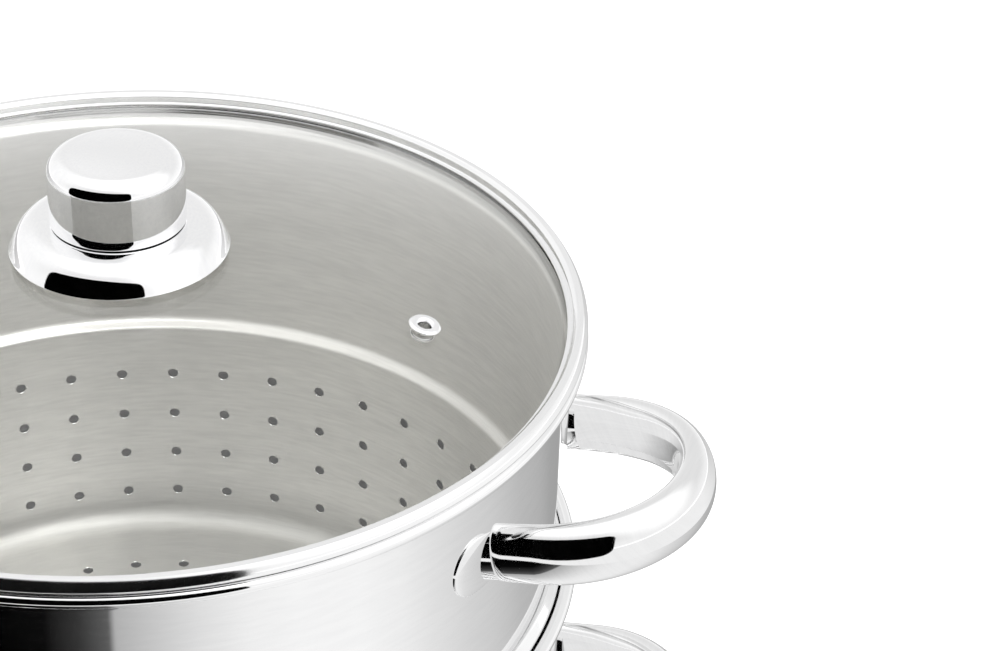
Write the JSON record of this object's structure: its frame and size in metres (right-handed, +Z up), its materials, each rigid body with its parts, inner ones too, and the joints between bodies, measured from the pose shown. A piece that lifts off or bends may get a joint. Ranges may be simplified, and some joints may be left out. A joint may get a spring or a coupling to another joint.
{
  "type": "steam juicer",
  "caption": "Stacked steel steam juicer: water pan, juice kettle with spigot and steam cone, perforated fruit basket and domed glass lid with a steel knob.",
  "frame": {"origin": "centre of the flat face that the water pan's base stands on", "axes": "+Z up along the common axis of the stack, +X and -X through the handles, -Y through the juice spigot"},
  "size_m": [0.3548, 0.2954, 0.3677],
  "materials": {
    "mirror_steel": "polished",
    "satin_steel": "satin",
    "chrome": "polished",
    "heat_disc": "rolled",
    "glass": "clear",
    "silicone": "matte",
    "knob_core": "matte"
  },
  "bodies": {
    "water_pan": {"water_pan": "mirror_steel", "heat_disc": "heat_disc", "base_cover": "mirror_steel", "water_pan_handle_right": "mirror_steel", "water_pan_bracket_right_front": "mirror_steel", "water_pan_bracket_right_rear": "mirror_steel", "water_pan_handle_left": "mirror_steel", "water_pan_bracket_left_front": "mirror_steel", "water_pan_bracket_left_rear": "mirror_steel"},
    "juice_kettle": {"juice_kettle": "mirror_steel", "steam_cone": "satin_steel", "spigot": "chrome", "spigot_gasket": "silicone", "spigot_nut": "chrome", "juice_kettle_handle_right": "mirror_steel", "juice_kettle_bracket_right_front": "mirror_steel", "juice_kettle_bracket_right_rear": "mirror_steel", "juice_kettle_handle_left": "mirror_steel", "juice_kettle_bracket_left_front": "mirror_steel", "juice_kettle_bracket_left_rear": "mirror_steel"},
    "fruit_basket": {"fruit_basket": "satin_steel", "fruit_basket_handle_right": "mirror_steel", "fruit_basket_bracket_right_front": "mirror_steel", "fruit_basket_bracket_right_rear": "mirror_steel", "fruit_basket_handle_left": "mirror_steel", "fruit_basket_bracket_left_front": "mirror_steel", "fruit_basket_bracket_left_rear": "mirror_steel"},
    "lid": {"lid_glass": "glass", "lid_rim": "mirror_steel", "steam_vent": "chrome", "knob_skirt": "chrome", "knob_cap": "chrome", "knob_core": "knob_core", "knob_washer_upper": "silicone", "knob_washer_lower": "satin_steel", "knob_screw": "chrome"}
  },
  "joints": [
    {"name": "kettle_lift", "type": "slide", "parent": "water_pan", "child": "juice_kettle", "axis": [0, 0, 1], "range_m": [0, 0.1]},
    {"name": "basket_lift", "type": "slide", "parent": "juice_kettle", "child": "fruit_basket", "axis": [0, 0, 1], "range_m": [0, 0.18]},
    {"name": "lid_lift", "type": "slide", "parent": "fruit_basket", "child": "lid", "axis": [0, 0, 1], "range_m": [0, 0.12]}
  ]
}
